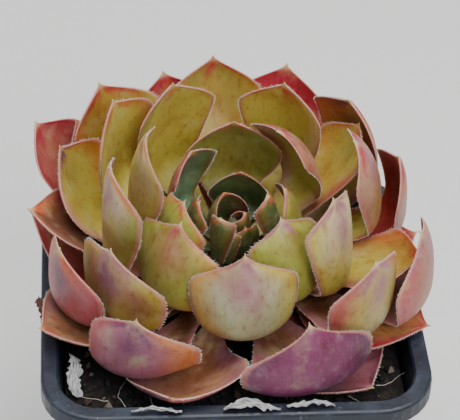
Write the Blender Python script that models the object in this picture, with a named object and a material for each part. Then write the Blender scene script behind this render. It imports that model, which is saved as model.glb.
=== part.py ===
"""A houseleek rosette in a square nursery pot.

Metres, +Z up. The origin is the middle of the pot's underside, and the pot's sides
run along X and Y. Leaves stand round the rosette's own axis, which leans a little.
"""
from collections import namedtuple
import math
import random

import bmesh
import bpy
import numpy as np
from mathutils import Matrix

MM = 0.001
GAP = 0.35

# Pot, in millimetres: outside width over the lip, height, taper and thin moulded wall
POT_WIDTH = 91.2
POT_HEIGHT = 80.0
POT_FOOT_WIDTH = 64.0
POT_WALL = 1.2
FLOOR_THICKNESS = 1.6
LIP_BAND = 4.1
LIP_DROP = 4.6
LIP_CORNER = 14.0
FOOT_CORNER = 8.5
EDGE_ROUND = 0.8
CORNER_STEPS = 8
DRAIN_RADIUS = 3.5
DRAIN_OFFSET = 17.0
DRAIN_SIDES = 20

# Soil and stem, in millimetres; the stem's profile is measured down from the heart
SOIL_BELOW_RIM = 7.0
SOIL_RINGS = 8
SOIL_DIP = 1.6
HEART_ABOVE_RIM = 17.0
STEM_DEPTH = 40.0
STEM_FOOT_RADIUS = 5.0
STEM_SIDES = 16
STEM_CLEARANCE = 0.6
BUD_TOP = -2.0

# Rosette axis: stands a little off the pot's middle, leans towards -Y, and the rosette is
# turned against the pot's sides
HEART_OFFSET = (1.2, 1.5)
LEAN = 8.0
TURN = -5.0

# Leaves, in millimetres and degrees; bases wind down the stem from young to old
BASE_DEPTH = (6.0, 19.5)
BASE_RADIUS = (3.0, 7.8)
YOUNG_RISE = 24.0
LEAF_THICKNESS = 1.5
RIM_THICKNESS = 0.6
CLAW_SHARE = 0.16
CLAW_CURVE = (1.9, 3.5)
POINT_SHARE = 0.44
CUP = (1.0, 3.6)
TIP_HALF_WIDTH = 0.3
LEAF_ROWS = 10
LEAF_COLUMNS = 7

# One line a leaf, youngest first: the azimuth it points to (clockwise from the back),
# how far out and how high its tip stands from the heart, its width, how far its back
# bulges past the tip (0 for an open leaf), the open leaf's slope at the tip, how far
# one margin is turned out past the other, and how much steeper its claw leaves the stem.
Leaf = namedtuple("Leaf", "azimuth reach rise width belly slope turn lean")
LEAVES = [
    Leaf(314, 3.5, 9.5, 13, 3, 0, 1, 0),
    Leaf(7, 8, 11, 17, 4, 0, 0, 0),
    Leaf(144, 4, 4, 12, 1.5, 0, 1, 0),
    Leaf(87, 2, 5.5, 6.5, 1.5, 0, 0, 0),
    Leaf(194, 5.5, 4.5, 5.5, 1.5, 0, 1, 0),
    Leaf(260, 8.5, 10.5, 11, 4, 0, 0, 0),
    Leaf(45, 12.5, 24, 21, 11.5, 0, 0.5, 0),
    Leaf(110, 7.5, 14.5, 8.5, 3.5, 0, 0, 3),
    Leaf(306, 13, 18, 16.5, 5, 0, 0, 3),
    Leaf(207, 7.5, 10.5, 6.5, 2, 0, 0, 0),
    Leaf(81, 11, 12.5, 12.5, 5, 0, 0, -6),
    Leaf(142, 16.5, 18, 19, 8.5, 0, 1, 9),
    Leaf(240, 13.5, 16, 19, 6.5, 0, 0, 18),
    Leaf(297, 33.5, 26.5, 24.5, 0.5, 0, 0, 6),
    Leaf(356, 16, 20, 25, 6, 0, 0, 0),
    Leaf(77, 27.5, 24.5, 20, 8, 0, 3, -9),
    Leaf(121, 25.5, 25, 18.5, 4.5, 0, 0, 0),
    Leaf(220, 19, 17, 26, 7.5, 0, 0, 6),
    Leaf(272, 21, 29, 20, 4, 0, -3, -3),
    Leaf(323, 26.5, 27, 22, 4, 0, 0, 15),
    Leaf(24, 26, 26, 22, 4, 0, 0, 18),
    Leaf(128, 40.5, 17, 23.5, 1.5, 0, 1, 3),
    Leaf(229, 37, 17.5, 26.5, 1, 0, -2, 3),
    Leaf(285, 44, 14.5, 25.5, 0, 88, 0, -18),
    Leaf(174, 23, 16, 26, 7, 0, 0, -9),
    Leaf(50, 38.5, 13, 20.5, 0, 78, 5, 15),
    Leaf(101, 45.5, 2.5, 20.5, 0, 53, 1, 0),
    Leaf(351, 44, 16.5, 24, 0, 88, 0, 0),
    Leaf(252, 30, 28, 21, 1.5, 0, -1, 9),
    Leaf(45, 37, 19, 24, 6.5, 0, 2, -30),
    Leaf(311, 45.5, 18.5, 24, 0, 83, 4, -9),
    Leaf(104, 44, 12.5, 28, 4, 0, 0, 6),
    Leaf(154, 39.5, 7.5, 33, 6.5, 0, 1, 3),
    Leaf(244, 44.5, 12, 24, 0.5, 0, -2, -12),
    Leaf(14, 48.5, 11.5, 22.5, 0, 78, -1, -3),
    Leaf(70, 41, 12.5, 21, 3, 0, 3, -6),
    Leaf(306, 50, 6, 24.5, 0, 68, 0, -6),
    Leaf(112, 51, -11, 34.5, 0, 43, 1, 0),
    Leaf(210, 43, 8.5, 25, 1.5, 0, -5, 9),
    Leaf(268, 49.5, 6, 22.5, 0, 30, -3, -3),
    Leaf(337, 50, 8.5, 22, 0, 73, -1, 0),
    Leaf(13, 49, -3, 27.5, 0, 55, 0, 0),
    Leaf(74, 47.5, -12.5, 26.5, 0, 48, 0, -15),
    Leaf(296, 55.5, 10, 22.5, 0, 73, -2, -3),
    Leaf(138, 50, -13, 28.5, 0, 50, 0, -12),
    Leaf(195, 50, -5.5, 27.5, 0, 68, -5, -9),
    Leaf(328, 51.5, -4, 28, 0, 53, 0, -18),
    Leaf(238, 53, -6.5, 30, 0, 48, -4, 0),
    Leaf(31, 54.5, -3.5, 27.5, 0, 63, 0, -6),
    Leaf(282, 52, -7.5, 30, 0, 45, 0, -15),
]

# Tiny leaves round the growing point, drawn this much further out than they stand
BUD_LEAVES = [
    Leaf(20, 4.2, 0.5, 3.4, 1.0, 0, 0, 0),
    Leaf(140, 4.3, -0.5, 3.2, 0.9, 0, 0, 0),
    Leaf(260, 4.2, -1.2, 3.0, 0.8, 0, 0, 0),
]
BUD_BASE = (4.4, -6.6)
BUD_DRAWN_OUT = 3.6

# Dry scraps in the pot's millimetres: both ends of the middle line, the width, how far
# the middle arches and how far the sides curl up
SCRAP_ROWS = 9
SCRAP_COLUMNS = 5
SCRAP_THICKNESS = 0.6
DRY_COLOUR = (0.16, 0.075, 0.03)
SKIN_COLOUR = (0.55, 0.50, 0.44)
Scrap = namedtuple("Scrap", "name start end width arch curl")
SCRAPS = [
    Scrap("dry_leaf", (-45.8, -3.5, 80.7), (-45.2, -12.5, 80.7), 2.6, 0.9, 0.6),
    Scrap("dry_skin_left", (-38.6, -21.5, 78.3), (-36.8, -31.0, 73.4), 4.4, 0.9, 0.8),
    Scrap("dry_skin_front", (-4.0, -44.0, 80.7), (9.0, -44.4, 80.7), 4.6, 0.7, 0.6),
    Scrap("dry_skin_right", (10.5, -43.4, 80.7), (21.5, -43.8, 80.7), 2.8, 0.5, 0.5),
    Scrap("dry_skin_rim", (-25.0, -44.0, 80.7), (-13.5, -44.6, 80.7), 2.2, 0.4, 0.4),
]


def polar(degrees, radius=1.0):
    angle = math.radians(degrees)
    return np.array([radius * math.cos(angle), radius * math.sin(angle)])


def bezier(start, leave, arrive, end, count=120):
    t = np.linspace(0.0, 1.0, count)[:, None]
    return (1 - t) ** 3 * start + 3 * (1 - t) ** 2 * t * leave + 3 * (1 - t) * t ** 2 * arrive + t ** 3 * end


def incurved_line(base, tip, leaf, age):
    """Out from the stem, round the bulge of the back, and in again to the tip."""
    bulge = np.array([leaf.reach + leaf.belly, base[1] + (0.26 + 0.12 * age) * (leaf.rise - base[1])])
    out = bulge[0] - base[0]
    up = np.linalg.norm(tip - bulge)
    slope = 90 + 2 * math.degrees(math.atan2(leaf.belly, leaf.rise - bulge[1]))
    start = base + 0.5 * out * polar(YOUNG_RISE * (1 - age) + leaf.lean)
    lower = bezier(base, start, bulge - 0.28 * out * polar(90), bulge)
    upper = bezier(bulge, bulge + 0.36 * up * polar(90), tip - 0.36 * up * polar(slope), tip)
    return np.vstack([lower, upper[1:]])


def open_line(base, tip, leaf, age):
    """Out from the stem and up to the tip in one sweep."""
    steep = math.sin(math.radians(leaf.slope))
    out, up = leaf.reach - base[0], leaf.rise - base[1]
    start = base + 0.62 * out * polar(YOUNG_RISE * (1 - age) + leaf.lean)
    return bezier(base, start, tip - (0.60 * up * steep + 0.30 * out * (1 - steep)) * polar(leaf.slope), tip)


def midrib(leaf, age, base):
    """Points at even steps from base to tip, as distance from the axis and height, and their length."""
    tip = np.array([leaf.reach, leaf.rise])
    line = incurved_line(base, tip, leaf, age) if leaf.belly else open_line(base, tip, leaf, age)
    run = np.concatenate([[0.0], np.cumsum(np.linalg.norm(np.diff(line, axis=0), axis=1))])
    even = np.linspace(0.0, run[-1], 60)
    return np.stack([np.interp(even, run, line[:, 0]), np.interp(even, run, line[:, 1])], 1), run[-1]


def by_age(pair, age):
    return pair[0] + (pair[1] - pair[0]) * age


def half_widths(along, leaf, age, length):
    """Narrow claw, widest past the middle, then an ogee shoulder into the point."""
    point = min(0.5, POINT_SHARE * leaf.width / length)
    widest = 1 - point
    swell = np.sin(0.5 * np.pi * np.clip(along / widest, 0, 1)) ** by_age(CLAW_CURVE, age)
    claw = CLAW_SHARE + (1 - CLAW_SHARE) * swell
    ogee = 0.5 * (1 + np.cos(np.pi * np.clip((along - widest) / point, 0, 1) ** 1.35))
    return 0.5 * leaf.width * np.where(along < widest, claw, ogee)


def leaf_sheets(leaf, age, base, rows, columns):
    """Upper and lower face of a leaf as two grids of points round the rosette's axis."""
    line, length = midrib(leaf, age, base)
    along = np.linspace(0.0, 1.0, rows) ** 0.85
    place = along * (len(line) - 1)
    steps = np.arange(len(line))
    radius, height = (np.interp(place, steps, line[:, k]) for k in (0, 1))
    run, climb = (np.interp(place, steps, np.gradient(line[:, k])) for k in (0, 1))
    inward, upward = -climb / np.hypot(run, climb), run / np.hypot(run, climb)

    half = half_widths(along, leaf, age, length)
    half[-1] = TIP_HALF_WIDTH
    across = np.linspace(-1.0, 1.0, columns)[None, :]
    share = half[:, None] / (0.5 * leaf.width)
    lift = by_age(CUP, age) * across ** 2 * share + leaf.turn * across * share * np.sin(np.pi * along[:, None] ** 1.5)
    fullness = 0.55 + 0.45 * np.sin(np.pi * along[:, None] ** 0.85)
    thick = RIM_THICKNESS + (LEAF_THICKNESS - RIM_THICKNESS) * fullness * (1 - across ** 2) ** 0.8
    thick[-1] = RIM_THICKNESS

    reach = np.maximum(radius[:, None] + inward[:, None] * lift, 1.0)
    angle = math.radians(leaf.azimuth) + half[:, None] * across / reach
    sheets = []
    for side in (0.5, -0.5):
        shift = lift + side * thick
        out = radius[:, None] + inward[:, None] * shift
        up = height[:, None] + upward[:, None] * shift
        sheets.append(np.stack([out * np.sin(angle), out * np.cos(angle), up], 2))
    return sheets


def rosette_matrix():
    """The rosette's frame, in metres: origin at the heart, +Z along the leaning axis."""
    x, y = HEART_OFFSET
    heart = Matrix.Translation((x * MM, y * MM, (POT_HEIGHT + HEART_ABOVE_RIM) * MM))
    turn = Matrix.Rotation(math.radians(TURN), 4, "Z")
    return heart @ turn @ Matrix.Rotation(math.radians(LEAN), 4, "X")


def material(name, colour, roughness):
    shader = bpy.data.materials.new(name)
    shader.use_nodes = True
    surface = shader.node_tree.nodes["Principled BSDF"]
    surface.inputs["Base Color"].default_value = (*colour, 1.0)
    surface.inputs["Roughness"].default_value = roughness
    surface.inputs["Metallic"].default_value = 0.0
    return shader


def new_object(name, bm, shader=None, matrix=None, smooth_angle=50):
    mesh = bpy.data.meshes.new(name)
    bm.to_mesh(mesh)
    bm.free()
    mesh.shade_smooth()
    mesh.set_sharp_from_angle(angle=math.radians(smooth_angle))
    if shader:
        mesh.materials.append(shader)
    part = bpy.data.objects.new(name, mesh)
    if matrix:
        part.matrix_world = matrix
    bpy.context.scene.collection.objects.link(part)
    return part


def cutter(part):
    part.hide_render = True
    part.display_type = "WIRE"
    return part


def cut(part, tool):
    boolean = part.modifiers.new(tool.name, "BOOLEAN")
    boolean.operation = "DIFFERENCE"
    boolean.object = tool


def thin_leaf(upper, lower):
    """A closed blade between two grids of points, split into triangles alike on both faces."""
    bm = bmesh.new()
    rows, columns = upper.shape[:2]
    top, under = ([[bm.verts.new(point * MM) for point in row] for row in sheet] for sheet in (upper, lower))
    for i in range(rows - 1):
        for j in range(columns - 1):
            for a, b, c in (((i, j), (i + 1, j + 1), (i + 1, j)), ((i, j), (i, j + 1), (i + 1, j + 1))):
                bm.faces.new([top[a[0]][a[1]], top[b[0]][b[1]], top[c[0]][c[1]]])
                bm.faces.new([under[c[0]][c[1]], under[b[0]][b[1]], under[a[0]][a[1]]])
    edge = [(i, 0) for i in range(rows)] + [(rows - 1, j) for j in range(1, columns)]
    edge += [(i, columns - 1) for i in range(rows - 2, -1, -1)] + [(0, j) for j in range(columns - 2, 0, -1)]
    for (i, j), (k, m) in zip(edge, edge[1:] + edge[:1]):
        bm.faces.new([top[i][j], top[k][m], under[k][m]])
        bm.faces.new([top[i][j], under[k][m], under[i][j]])
    return bm


def rounded_square(half, corner, height):
    """One ring of points, counter-clockwise seen from above."""
    ring = []
    for quarter, (x, y) in enumerate(((1, 1), (-1, 1), (-1, -1), (1, -1))):
        for step in range(CORNER_STEPS + 1):
            dx, dy = polar(90 * (quarter + step / CORNER_STEPS), corner)
            ring.append(((half - corner) * x + dx, (half - corner) * y + dy, height))
    return ring


def loft(rings):
    """A closed body through rings of points, capped at both ends."""
    bm = bmesh.new()
    loops = [[bm.verts.new([value * MM for value in point]) for point in ring] for ring in rings]
    for low, high in zip(loops, loops[1:]):
        for k in range(len(low)):
            n = (k + 1) % len(low)
            bm.faces.new([low[k], low[n], high[n], high[k]])
    bm.faces.new(loops[0][::-1])
    bm.faces.new(loops[-1])
    return bm


def wall_at(height, inset):
    """Half width and corner radius of the tapered wall, measured in from its outside."""
    share = height / POT_HEIGHT
    top_half = 0.5 * POT_WIDTH - LIP_BAND + POT_WALL
    half = 0.5 * POT_FOOT_WIDTH + (top_half - 0.5 * POT_FOOT_WIDTH) * share
    corner = FOOT_CORNER + (LIP_CORNER - LIP_BAND + POT_WALL - FOOT_CORNER) * share
    return half - inset, corner - inset


def wall_ring(height, inset=0.0):
    return rounded_square(*wall_at(height, inset), height)


def make_pot():
    top = POT_HEIGHT
    half = 0.5 * POT_WIDTH
    skirt_foot = top - LIP_DROP
    under_lip = top - POT_WALL
    rings = [wall_ring(0.0, EDGE_ROUND), wall_ring(EDGE_ROUND)]
    rings.append(wall_ring(under_lip))
    rings.append(rounded_square(half - POT_WALL, LIP_CORNER - POT_WALL, under_lip))
    rings.append(rounded_square(half - POT_WALL, LIP_CORNER - POT_WALL, skirt_foot))
    rings.append(rounded_square(half, LIP_CORNER, skirt_foot))
    for degrees in (0, 45, 90):
        across, up = polar(degrees, EDGE_ROUND)
        inset = EDGE_ROUND - across
        rings.append(rounded_square(half - inset, LIP_CORNER - inset, top - EDGE_ROUND + up))
    rings.append(rounded_square(half - LIP_BAND + 0.4, LIP_CORNER - LIP_BAND + 0.4, top))
    rings.append(wall_ring(top - 0.5, POT_WALL))
    rings.append(wall_ring(FLOOR_THICKNESS, POT_WALL))
    pot = new_object("pot", loft(rings), material("pot_plastic", (0.035, 0.038, 0.045), 0.42), smooth_angle=35)
    for k, (x, y) in enumerate(((1, 1), (-1, 1), (-1, -1), (1, -1))):
        drill = bmesh.new()
        bmesh.ops.create_cone(drill, cap_ends=True, segments=DRAIN_SIDES, radius1=DRAIN_RADIUS * MM,
                              radius2=DRAIN_RADIUS * MM, depth=4 * FLOOR_THICKNESS * MM)
        place = Matrix.Translation((x * DRAIN_OFFSET * MM, y * DRAIN_OFFSET * MM, 0.5 * FLOOR_THICKNESS * MM))
        cut(pot, cutter(new_object(f"drain_{k + 1}", drill, matrix=place)))
    return pot


def stem_radius(height):
    """The stem narrows to the heart just inside the ring of leaf bases."""
    share = (-height - BASE_DEPTH[0]) / (BASE_DEPTH[1] - BASE_DEPTH[0])
    return BASE_RADIUS[0] + (BASE_RADIUS[1] - BASE_RADIUS[0]) * share - STEM_CLEARANCE


def stem_rings(grow):
    profile = [(-STEM_DEPTH - grow, STEM_FOOT_RADIUS), (-BASE_DEPTH[1] - 6, 6.4)]
    profile += [(-height, stem_radius(-height)) for height in (BASE_DEPTH[1], 15, 10.5, BASE_DEPTH[0] + 0.4)]
    profile += [(-BASE_DEPTH[0] + 0.6, 1.5), (BUD_TOP, 0.4)]
    rings = []
    for height, radius in profile:
        spokes = [polar(360 * k / STEM_SIDES, radius + grow) for k in range(STEM_SIDES)]
        rings.append([(x, y, height) for x, y in spokes])
    return rings


def make_stem(place):
    """Stem and growing point, with the bud's tiny leaves fused to it."""
    bud = bpy.data.collections.new("bud")
    bpy.context.scene.collection.children.link(bud)
    stem = new_object("stem", loft(stem_rings(0.0)), material("stem", (0.20, 0.22, 0.09), 0.6), place)
    for leaf in BUD_LEAVES:
        sheets = leaf_sheets(leaf, 0.0, np.array(BUD_BASE), 6, 5)
        y, x = polar(leaf.azimuth, -BUD_DRAWN_OUT * MM)
        tiny = new_object("bud_leaf", thin_leaf(*sheets), matrix=place @ Matrix.Translation((x, y, 0)))
        bpy.context.scene.collection.objects.unlink(tiny)
        bud.objects.link(tiny)
    union = stem.modifiers.new("bud", "BOOLEAN")
    union.operation = "UNION"
    union.operand_type = "COLLECTION"
    union.collection = bud
    apply_modifiers(stem)
    for tiny in list(bud.objects):
        bpy.data.objects.remove(tiny)
    bpy.data.collections.remove(bud)


def apply_modifiers(part):
    bpy.context.view_layer.update()
    depsgraph = bpy.context.evaluated_depsgraph_get()
    solid = bpy.data.meshes.new_from_object(part.evaluated_get(depsgraph))
    part.modifiers.clear()
    part.data = solid


def make_soil(place):
    """Potting soil with a crumbled top, and a plain hole that the stem stands in."""
    rng = random.Random(7)
    top = POT_HEIGHT - SOIL_BELOW_RIM
    rings = [wall_ring(FLOOR_THICKNESS + GAP, POT_WALL + GAP), wall_ring(top - SOIL_DIP, POT_WALL + GAP)]
    half, corner = wall_at(top, POT_WALL + GAP)
    for step in range(SOIL_RINGS):
        shrink = 1 - (step + 0.4) / (SOIL_RINGS + 0.4)
        ring = rounded_square(half * shrink, corner * shrink, top)
        rings.append([(x, y, z - SOIL_DIP * rng.random()) for x, y, z in ring])
    soil = new_object("soil", loft(rings), material("soil", (0.02, 0.016, 0.013), 0.95))
    hole = cutter(new_object("stem_hole", loft(stem_rings(GAP)), matrix=place))
    cut(soil, hole)


def make_leaves(place):
    upper_colour, outer_colour = (0.42, 0.36, 0.07), (0.50, 0.10, 0.09)
    for index, leaf in enumerate(LEAVES):
        age = index / (len(LEAVES) - 1)
        base = np.array([by_age(BASE_RADIUS, age), -by_age(BASE_DEPTH, age)])
        colour = [a + (b - a) * age for a, b in zip(upper_colour, outer_colour)]
        name = f"leaf_{index + 1:02d}"
        blade = thin_leaf(*leaf_sheets(leaf, age, base, LEAF_ROWS, LEAF_COLUMNS))
        new_object(name, blade, material(name, colour, 0.5), place)


def scrap_sheets(scrap):
    """Upper and lower face of a curled scrap, as two grids of points along its middle line."""
    start, end = np.array(scrap.start), np.array(scrap.end)
    ahead = (end - start) / np.linalg.norm(end - start)
    sideways = np.cross(ahead, [0.0, 0.0, 1.0])
    sideways /= np.linalg.norm(sideways)
    upright = np.cross(sideways, ahead)
    t = np.linspace(0.0, 1.0, SCRAP_ROWS)[:, None, None]
    across = np.linspace(-1.0, 1.0, SCRAP_COLUMNS)[None, :, None]
    half = 0.5 * scrap.width * np.sin(np.pi * (0.10 + 0.78 * t)) ** 0.7
    middle = start + (end - start) * t + scrap.arch * np.sin(np.pi * t) * upright
    sheet = middle + half * across * sideways + scrap.curl * across ** 2 * upright
    return [sheet + side * SCRAP_THICKNESS * upright for side in (0.5, -0.5)]


def make_scraps():
    """Shed papery skins and a dry leaf, on the rim and on the soil by the wall."""
    for scrap in SCRAPS:
        colour = DRY_COLOUR if scrap.name == "dry_leaf" else SKIN_COLOUR
        new_object(scrap.name, thin_leaf(*scrap_sheets(scrap)), material(scrap.name, colour, 0.8))


def main():
    for old in list(bpy.data.objects):
        bpy.data.objects.remove(old, do_unlink=True)
    place = rosette_matrix()
    make_pot()
    make_soil(place)
    make_stem(place)
    make_leaves(place)
    make_scraps()


main()
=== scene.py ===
from collections import namedtuple
import math
import random

import bpy
import numpy as np
from mathutils import Matrix, Vector


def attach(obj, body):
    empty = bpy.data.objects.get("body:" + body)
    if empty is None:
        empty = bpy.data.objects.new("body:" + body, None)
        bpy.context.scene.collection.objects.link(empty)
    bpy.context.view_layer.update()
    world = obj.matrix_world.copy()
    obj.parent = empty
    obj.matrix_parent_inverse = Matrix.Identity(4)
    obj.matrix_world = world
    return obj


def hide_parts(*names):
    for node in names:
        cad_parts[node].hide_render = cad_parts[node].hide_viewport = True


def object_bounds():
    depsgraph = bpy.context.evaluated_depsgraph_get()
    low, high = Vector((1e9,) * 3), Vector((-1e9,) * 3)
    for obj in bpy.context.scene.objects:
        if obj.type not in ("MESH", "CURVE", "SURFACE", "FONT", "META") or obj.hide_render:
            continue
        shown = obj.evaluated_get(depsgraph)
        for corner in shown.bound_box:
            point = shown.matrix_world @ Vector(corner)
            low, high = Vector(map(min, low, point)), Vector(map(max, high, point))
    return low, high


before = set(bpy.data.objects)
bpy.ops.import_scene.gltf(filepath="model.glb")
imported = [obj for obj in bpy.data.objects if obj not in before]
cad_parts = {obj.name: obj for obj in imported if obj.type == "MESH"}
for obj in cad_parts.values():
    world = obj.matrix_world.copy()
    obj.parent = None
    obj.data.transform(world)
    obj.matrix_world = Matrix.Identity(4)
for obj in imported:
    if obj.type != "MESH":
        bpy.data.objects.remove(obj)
cad_box = [list(corner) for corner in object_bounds()]

MM = 0.001
ROOT = "root"

# The rosette's own frame in the pot's: heart in millimetres, lean and turn in degrees
HEART = (1.2, 1.5, 97.0)
LEAN = 8.0
TURN = -5.0

# The photograph's camera: frame and focal length in pixels, and where the heart shows
FRAME = (460, 420)
FOCAL = 2072.0
SCALE_AT_HEART = 4.17
HEART_PIXEL = (235.0, 228.0)
ELEVATION = 38.0
ROLL = -2.0
SENSOR = 36.0
CLIP = (0.01, 20)

# The studio, in metres and watts
Lamp = namedtuple("Lamp", "name place side power colour")
LAMPS = [
    Lamp("overhead", (0.05, 0.05, 1.0), 0.8, 11.0, (1.0, 0.98, 0.94)),
    Lamp("front", (0.30, -0.75, 0.85), 0.5, 7.0, (0.98, 0.98, 1.0)),
]
LAMP_TARGET = (0, 0, 0.09)
SKY = (0.80, 0.86, 0.95)
SKY_STRENGTH = 0.56
FLOOR_HALF = 3.0
FLOOR_COLOUR = (0.74, 0.73, 0.71)
FLOOR_ROUGHNESS = 0.85


# Camera and light

def heart_matrix():
    """Origin at the heart, turned as the pot is, in metres."""
    return Matrix.Translation(Vector(HEART) * MM) @ Matrix.Rotation(math.radians(TURN), 4, "Z")


def rosette_matrix():
    """Origin at the heart, +Z along the leaning axis, in metres."""
    return heart_matrix() @ Matrix.Rotation(math.radians(LEAN), 4, "X")


def put_in_scene(thing):
    bpy.context.scene.collection.objects.link(thing)


def make_camera():
    """Looks down on the heart from the front, as far off as the focal length and scale say."""
    rise, roll = math.radians(ELEVATION), math.radians(ROLL)
    right, up = Vector((1, 0, 0)), Vector((0, math.sin(rise), math.cos(rise)))
    ahead = Vector((0, math.cos(rise), -math.sin(rise)))
    image_right = math.cos(roll) * right - math.sin(roll) * up
    image_up = math.sin(roll) * right + math.cos(roll) * up
    across, down = HEART_PIXEL[0] - FRAME[0] / 2, HEART_PIXEL[1] - FRAME[1] / 2
    eye = -FOCAL * ahead - across * image_right + down * image_up
    place = Matrix((image_right, image_up, -ahead)).transposed().to_4x4()
    place.translation = eye * MM / SCALE_AT_HEART
    data = bpy.data.cameras.new("camera")
    data.sensor_width = SENSOR
    data.lens = FOCAL / FRAME[0] * SENSOR
    data.clip_start, data.clip_end = CLIP
    camera = bpy.data.objects.new("camera", data)
    camera.matrix_world = heart_matrix() @ place
    put_in_scene(camera)
    bpy.context.scene.camera = camera


def make_lamp(lamp):
    """A square soft box that faces the plant."""
    data = bpy.data.lights.new(lamp.name, "AREA")
    data.shape = "SQUARE"
    data.size = lamp.side
    data.energy = lamp.power
    data.color = lamp.colour
    light = bpy.data.objects.new(lamp.name, data)
    light.location = lamp.place
    towards = Vector(LAMP_TARGET) - Vector(lamp.place)
    light.rotation_euler = towards.to_track_quat("-Z", "Y").to_euler()
    put_in_scene(light)


def make_studio():
    """A pale sky, the lamps and a plain floor."""
    world = bpy.data.worlds.new("studio")
    world.use_nodes = True
    background = world.node_tree.nodes["Background"]
    background.inputs["Color"].default_value = (*SKY, 1)
    background.inputs["Strength"].default_value = SKY_STRENGTH
    bpy.context.scene.world = world
    for lamp in LAMPS:
        make_lamp(lamp)
    mesh = bpy.data.meshes.new("floor")
    corners = [(x * FLOOR_HALF, y * FLOOR_HALF, 0) for x, y in ((-1, -1), (1, -1), (1, 1), (-1, 1))]
    mesh.from_pydata(corners, [], [(0, 1, 2, 3)])
    floor = bpy.data.objects.new("floor", mesh)
    put_in_scene(floor)
    mesh.materials.append(plain_material("floor", FLOOR_COLOUR, FLOOR_ROUGHNESS))


# Colours by name, as they look in daylight (sRGB, 0 to 255)
PALETTE = {
    "crimson": (168, 38, 56), "red": (180, 60, 52), "rose": (172, 74, 76), "pink": (205, 118, 122),
    "flame": (190, 88, 48), "orange": (200, 128, 62), "amber": (192, 150, 62), "lemon": (196, 186, 74),
    "lime": (160, 166, 66), "olive": (150, 138, 60), "moss": (112, 108, 46), "green": (98, 116, 52),
    "fern": (58, 84, 44), "teal": (108, 138, 104), "sage": (176, 178, 132), "cream": (212, 192, 146),
    "blush": (200, 152, 126), "mauve": (158, 98, 112), "purple": (112, 50, 88), "plum": (94, 42, 72),
    "brown": (124, 80, 48), "umber": (98, 58, 42), "clay": (168, 112, 84), "dove": (170, 160, 128),
    "ivory": (238, 228, 214), "straw": (184, 168, 62), "ochre": (172, 138, 48), "magenta": (114, 36, 80),
}


def linear(colour):
    """A palette colour as the renderer counts it."""
    share = np.array(colour, float) / 255
    return np.where(share <= 0.04045, share / 12.92, ((share + 0.055) / 1.055) ** 2.4)


INKS = {name: linear(colour) for name, colour in PALETTE.items()}


# Node materials

def new_material(name):
    made = bpy.data.materials.new(name)
    made.use_nodes = True
    return made, made.node_tree, made.node_tree.nodes["Principled BSDF"]


def set_inputs(node, **values):
    """Sets sockets by name, each space written as an underscore."""
    for key, value in values.items():
        node.inputs[key.replace("_", " ")].default_value = value


def plain_material(name, colour, roughness):
    made, _, surface = new_material(name)
    set_inputs(surface, Base_Color=(*colour, 1), Roughness=roughness)
    return made


def add_node(tree, kind, **values):
    """A node with its settings by attribute, or by socket where the name starts with a capital letter."""
    node = tree.nodes.new(kind)
    for key, value in values.items():
        if key[0].isupper():
            set_inputs(node, **{key: value})
        else:
            setattr(node, key, value)
    return node


def fill_socket(tree, socket, value):
    """Links a socket to another, or gives it a number or a plain colour."""
    if isinstance(value, bpy.types.NodeSocket):
        tree.links.new(value, socket)
    elif isinstance(value, (int, float)):
        socket.default_value = value
    else:
        socket.default_value = (*value, 1)


def scaled(tree, vector, factors):
    node = add_node(tree, "ShaderNodeVectorMath", operation="MULTIPLY")
    tree.links.new(vector, node.inputs[0])
    node.inputs[1].default_value = factors
    return node.outputs["Vector"]


def noise(tree, vector, scale, detail, roughness):
    node = add_node(tree, "ShaderNodeTexNoise", Scale=scale, Detail=detail, Roughness=roughness)
    tree.links.new(vector, node.inputs["Vector"])
    return node.outputs["Fac"]


def ramp(tree, value, low, high, out_low=0.0, out_high=1.0):
    node = add_node(tree, "ShaderNodeMapRange", From_Min=low, From_Max=high, To_Min=out_low, To_Max=out_high)
    node.interpolation_type = "SMOOTHSTEP"
    tree.links.new(value, node.inputs["Value"])
    return node.outputs["Result"]


def mix_colour(tree, factor, first, second, blend):
    """Mixes two colours, each a socket or a plain colour."""
    node = add_node(tree, "ShaderNodeMix", data_type="RGBA", blend_type=blend)
    for socket, value in ((node.inputs[0], factor), (node.inputs[6], first), (node.inputs[7], second)):
        fill_socket(tree, socket, value)
    return node.outputs[2]


def math_node(tree, operation, first, second):
    node = add_node(tree, "ShaderNodeMath", operation=operation)
    for socket, value in zip(node.inputs, (first, second)):
        fill_socket(tree, socket, value)
    return node.outputs[0]


def bump(tree, surface, height, strength, distance):
    node = add_node(tree, "ShaderNodeBump", Strength=strength, Distance=distance)
    tree.links.new(height, node.inputs["Height"])
    tree.links.new(node.outputs["Normal"], surface.inputs["Normal"])


def tint_of(tree):
    """The colour painted on the piece's points."""
    return add_node(tree, "ShaderNodeAttribute", attribute_name="tint").outputs["Color"]


def grain_of(tree):
    """Millimetres across and along the piece's surface, and a number that sets its faces apart."""
    return add_node(tree, "ShaderNodeAttribute", attribute_name="grain").outputs["Vector"]


def place_of(tree):
    """Metres in the piece's own axes."""
    return add_node(tree, "ShaderNodeTexCoord").outputs["Object"]


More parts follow.
